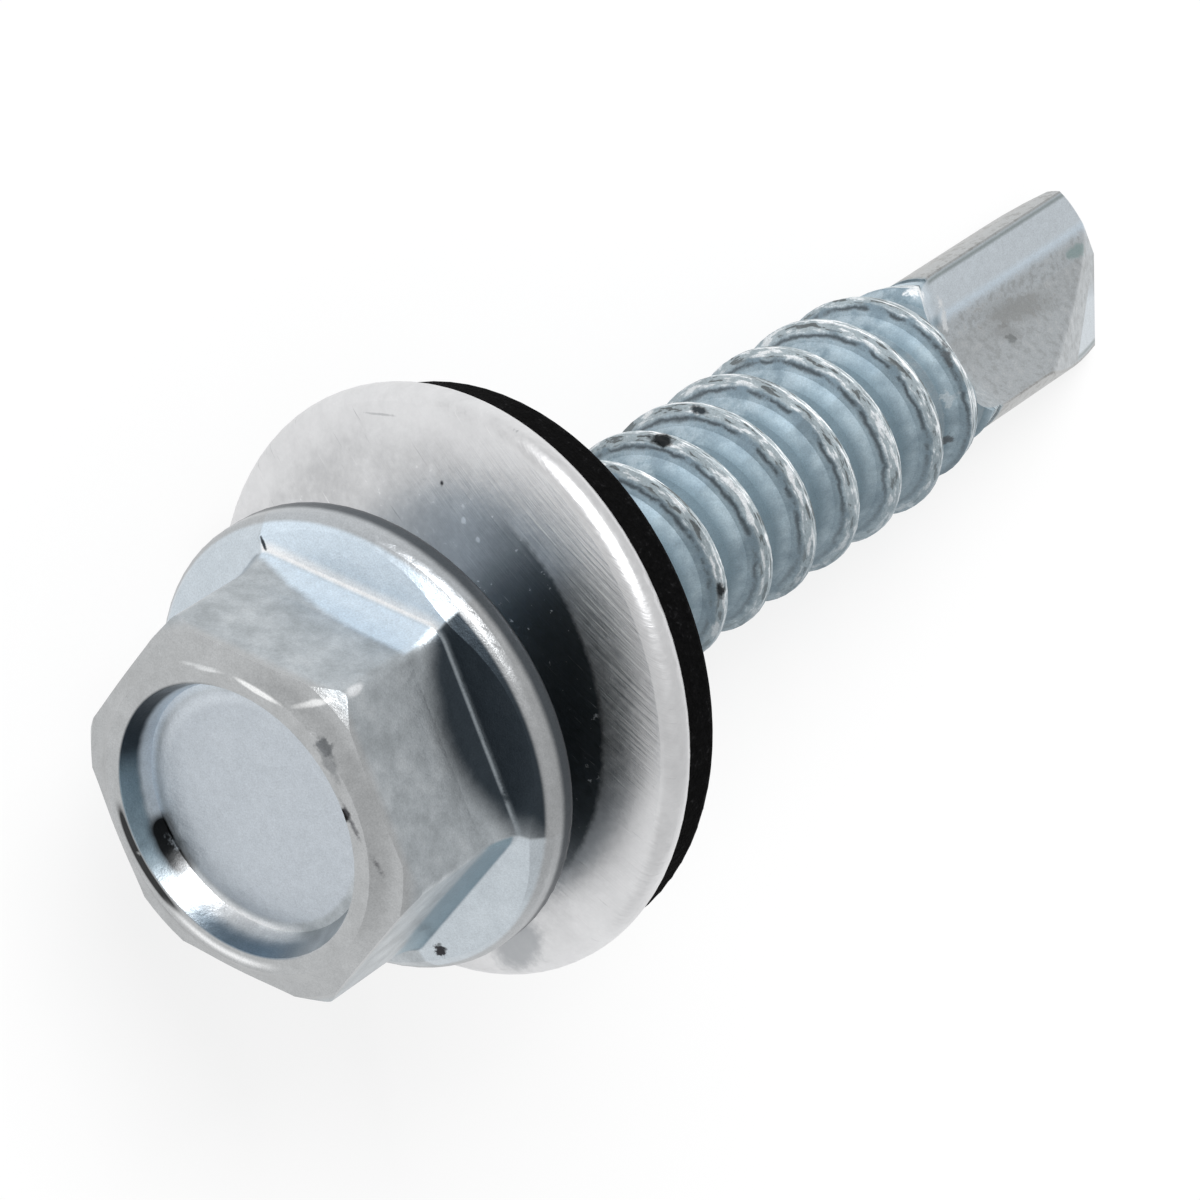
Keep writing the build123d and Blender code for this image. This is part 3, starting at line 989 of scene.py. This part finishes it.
@dataclass(frozen=True)
class RolledSheet:
    """The washer's satin metal sheet, with fine rolling scratches.

    Each noise is its scale, its detail and its roughness. The scratches' noise is drawn
    out along their run: its place is scaled little along it and much across it.
    """

    name: str = "rolled_washer_sheet"
    axes: WasherAxes = WasherAxes()
    cloud: Triple = (0.8, 5.0, 0.6)
    grain: Triple = (5.0, 4.0, 0.65)
    scratch: Triple = (1.4, 3.0, 0.7)
    scratch_run: Triple = (0.0, 0.82, -0.57)
    scratch_across: Triple = (0.0, 0.57, 0.82)
    scratch_through: Triple = (1.0, 0.0, 0.0)
    scale_along: float = 0.35
    scale_across: float = 9.0
    cloud_share: float = 0.6
    grain_share: float = 0.4
    sheet: Stops = ((0.36, (0.53, 0.535, 0.545)), (0.62, (0.70, 0.705, 0.715)))
    shade_angle: float = 116.0          # middle of the shaded sector, in degrees
    shade_sector_step: Span = (62, 28)  # degrees from that middle
    shade_waver: float = 0.14
    shade_step: Span = (5.24, 5.06)
    shade: Tone = Tone((0.06, 0.075, 0.085), 0.92)
    fleck_gaps: Span = (0.655, 0.70)
    fleck_step: Span = (5.4, 5.1)
    fleck: Tone = Tone((0.92, 0.92, 0.93), 0.7)
    rim_step: Span = (5.3, 6.5)
    rim: Tone = Tone(PALE_SCRATCH_AND_SHEEN, 0.45)
    dark_scratch_gaps: Span = (0.66, 0.74)
    dark_scratch: Tone = Tone((0.30, 0.31, 0.32), 0.5)
    pale_scratch_gaps: Span = (0.34, 0.27)
    pale_scratch: Tone = Tone(PALE_SCRATCH_AND_SHEEN, 0.5)
    least_rough: float = 0.26
    grain_rough: float = 0.16
    grain_bump: float = 0.4
    bump_depth: float = 0.02
    bump_strength: float = 0.5
    marks: tuple[Mark, ...] = (
        # pale specks in the shaded sector
        Mark((2.6, 3.75, 2.2), 0.10, PALE_SPECK),
        Mark((2.6, 3.3, 2.5), 0.09, PALE_SPECK),
        # scratches
        line_between((2.7, 0.0, 4.9), (2.9, -0.9, 5.6), 0.05, (0.2, 0.21, 0.22), 0.7),
        line_between((1.4, -4.4, 2.9), (1.7, -4.9, 3.3), 0.06, (0.15, 0.16, 0.17), 0.8),
        line_between((2.9, 5.9, 1.6), (3.1, 4.6, 3.7), 0.035, (0.3, 0.31, 0.32), 0.6),
        line_between((2.7, 6.5, -1.2), (2.95, 6.1, 1.0), 0.04, (0.33, 0.34, 0.35), 0.5),
        # a pit, and a painted shadow of the flange on the washer
        Mark((2.66, 4.62, 1.75), 0.09, (0.05, 0.05, 0.055)),
        Mark((1.25, -5.85, 0.16), 0.75, (0.24, 0.26, 0.28), 0.6,
             run=(0.0, 0.5, 0.87), stretch=1.6, ragged=0.12),
    )

    def scratches(self, g: Graph, place: Colour) -> Signal:
        """A noise drawn out along the scratches."""
        return g.noise(g.vector(
            place.dot(self.scratch_run) * self.scale_along,
            place.dot(self.scratch_across) * self.scale_across,
            place.dot(self.scratch_through)), *self.scratch)

    def shaded_sector(self, offset: Colour, radius: Signal) -> Signal:
        """The soft sector of the washer that is shaded.

        Args:
            offset: the place, from the washer's middle.
            radius: its distance from the washer's axis.

        Returns:
            The sector, 1 in its middle and 0 outside.
        """
        angle = math.radians(self.shade_angle)
        toward = offset.dot(self.axes.across) * math.cos(angle)
        toward = toward + offset.dot(self.axes.up) * math.sin(angle)
        outside, inside = (math.cos(math.radians(part)) for part in self.shade_sector_step)
        return (toward / radius).ramp(outside, inside)

    def make(self) -> bpy.types.Material:
        """Builds the material.

        Returns:
            The material.
        """
        made, g = material(self.name)
        place = g.place()
        offset = place.minus(self.axes.middle)
        height = offset.dot(self.axes.along)
        radius = (offset.dot(offset) - height * height).most(0.0).root()
        cloud = g.noise(place, *self.cloud)
        grain = g.noise(place, *self.grain)
        scratch = self.scratches(g, place)
        colour = g.tint(cloud * self.cloud_share + grain * self.grain_share, self.sheet)
        near = (radius + grain.centred() * self.shade_waver).ramp(*self.shade_step)
        colour = colour.toned(self.shade, near * self.shaded_sector(offset, radius))
        fleck = grain.ramp(*self.fleck_gaps) * radius.ramp(*self.fleck_step)
        colour = colour.toned(self.fleck, fleck)
        # Painted sheen, paler towards the rim.
        colour = colour.toned(self.rim, radius.ramp(*self.rim_step))
        colour = colour.toned(self.dark_scratch, scratch.ramp(*self.dark_scratch_gaps))
        colour = colour.toned(self.pale_scratch, scratch.ramp(*self.pale_scratch_gaps))
        colour = stained_and_painted_light(colour, place, self.marks, grain)
        rough = self.least_rough + grain * self.grain_rough
        normal = g.bump(grain * self.grain_bump + scratch, self.bump_depth, self.bump_strength)
        metal_surface(g, colour, rough, normal)
        return made


@dataclass(frozen=True)
class MouldedRubber:
    """Matt black rubber with a grainy moulded skin.

    Each noise is its scale, its detail and its roughness.
    """

    name: str = "moulded_rubber"
    grain: Triple = (5.0, 4.0, 0.7)
    speck: Triple = (14.0, 2.0, 0.6)
    grain_share: float = 0.6
    speck_share: float = 0.4
    skin: Stops = (
        (0.42, (0.0008, 0.0008, 0.0009)),
        (0.58, (0.0025, 0.0025, 0.0027)),
        (0.70, (0.02, 0.02, 0.021)),
    )
    rough: float = 0.9
    sheen: float = 0.05
    bump_depth: float = 0.08
    bump_strength: float = 0.9

    def make(self) -> bpy.types.Material:
        """Builds the material.

        Returns:
            The material.
        """
        made, g = material(self.name)
        place = g.place()
        grain = g.noise(place, *self.grain)
        speck = g.noise(place, *self.speck)
        colour = g.tint(grain * self.grain_share + speck * self.speck_share, self.skin)
        height = grain + speck * self.speck_share
        normal = g.bump(height, self.bump_depth, self.bump_strength)
        surfaced(g, g.add("ShaderNodeBsdfPrincipled", {}, {
            "Base Color": colour, "Roughness": self.rough,
            "Specular IOR Level": self.sheen, "Normal": normal}))
        return made


@dataclass(frozen=True)
class PaleFloor:
    """The pale floor on which the screw lies: white to the camera, with a soft shadow."""

    name: str = "pale_floor"
    size: float = 4.0
    shade: Triple = (0.8, 0.8, 0.8)
    white: Triple = (1.0, 1.0, 1.0)
    glow: float = 1.0
    whitened: float = 0.8       # share of plain white that the camera sees in its place

    def make(self) -> bpy.types.Material:
        """Builds the material.

        Returns:
            The material.
        """
        made, g = material(self.name)
        path = g.add("ShaderNodeLightPath", {}, {})
        seen = path.out("Is Camera Ray").most(path.out("Is Glossy Ray"))
        seen = seen.most(path.out("Is Transmission Ray"))
        diffuse = g.add("ShaderNodeBsdfDiffuse", {}, {"Color": self.shade})
        white = g.add("ShaderNodeEmission", {}, {"Color": self.white, "Strength": self.glow})
        mixed = g.add("ShaderNodeMixShader", {}, {
            0: seen * self.whitened, 1: diffuse.node.outputs[0], 2: white.node.outputs[0]})
        surfaced(g, mixed)
        return made

    def lay(self, height: float) -> None:
        """Lays the floor.

        Args:
            height: its level, in metres.
        """
        bpy.ops.object.select_all(action="DESELECT")
        bpy.ops.mesh.primitive_plane_add(size=self.size, location=(0, 0, height))
        floor = bpy.context.object
        floor.name = "floor"
        bpy.ops.object.transform_apply(location=True)
        floor.data.materials.append(self.make())
        floor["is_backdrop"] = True


@dataclass(frozen=True)
class Viewpoint:
    """The camera: looking down on the screw from its head."""

    place: Triple = (-0.060543, 0.028321, 0.10491)
    forward: Triple = (0.52569, -0.22081, -0.82152)
    roll: float = 88.3766
    lens: float = 170.081
    sensor: float = 36.0
    clip: Span = (0.005, 20.0)

    def set_up(self) -> None:
        """Makes the camera and hands it to the scene."""
        data = bpy.data.cameras.new("camera")
        data.lens = self.lens
        data.sensor_width = self.sensor
        data.clip_start, data.clip_end = self.clip
        camera = bpy.data.objects.new("camera", data)
        bpy.context.scene.collection.objects.link(camera)
        turn = Vector(self.forward).to_track_quat("-Z", "Y").to_matrix()
        spin = Matrix.Rotation(math.radians(self.roll), 3, "Z")
        camera.matrix_world = Matrix.Translation(self.place) @ (turn @ spin).to_4x4()
        bpy.context.scene.camera = camera


@dataclass(frozen=True)
class SoftBox:
    """One soft rectangular lamp."""

    name: str
    place: Triple
    size: Span
    watts: float
    target: Triple = (0.012, 0.0, 0.0)

    def hang(self) -> None:
        """Hangs the lamp and aims it at the screw."""
        data = bpy.data.lights.new(self.name, "AREA")
        data.shape = "RECTANGLE"
        data.size, data.size_y = self.size
        data.energy = self.watts
        lamp = bpy.data.objects.new(self.name, data)
        bpy.context.scene.collection.objects.link(lamp)
        aim = (Vector(self.target) - Vector(self.place)).to_track_quat("-Z", "Y")
        lamp.matrix_world = Matrix.Translation(self.place) @ aim.to_matrix().to_4x4()


@dataclass(frozen=True)
class Studio:
    """Plain pale surroundings with soft lamps."""

    surroundings: Triple = (1.0, 1.0, 1.0)
    glow: float = 0.7
    lamps: tuple[SoftBox, ...] = (
        SoftBox("key_lamp", place=(0.0, 0.35, 0.45), size=(0.4, 0.3), watts=3.0),
    )

    def light(self) -> None:
        """Lights the world and hangs the lamps."""
        world = bpy.data.worlds.new("studio")
        bpy.context.scene.world = world
        world.use_nodes = True
        g = Graph(world.node_tree)
        sockets = {"Color": self.surroundings, "Strength": self.glow}
        background = g.add("ShaderNodeBackground", {}, sockets)
        g.add("ShaderNodeOutputWorld", {}, {"Surface": background.node.outputs[0]})
        for lamp in self.lamps:
            lamp.hang()


def dress(nodes: dict[str, bpy.types.Object]) -> None:
    """Gives each piece its finish.

    Args:
        nodes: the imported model's pieces, by name.
    """
    finishes = {
        Node.SCREW: ZincPlate(),
        Node.WASHER: RolledSheet(),
        Node.SEAL: MouldedRubber(),
    }
    for node, finish in finishes.items():
        piece = nodes[node.value]
        piece.data.materials.clear()
        piece.data.materials.append(finish.make())
        log.info("%s wears %s", node.value, finish.name)


def box_lines() -> list[list[float]]:
    """The whole object's box as plain lists."""
    return [[float(value) for value in corner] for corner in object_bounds()]


def main() -> None:
    """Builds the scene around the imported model."""
    logging.basicConfig(level=logging.INFO, format="%(message)s")
    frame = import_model()
    cad_box = box_lines()
    bpy.context.scene.view_settings.view_transform = "Standard"
    dress(frame["nodes"])
    PaleFloor().lay(cad_box[0][2])
    Studio().light()
    Viewpoint().set_up()


if __name__ == "__main__":
    main()
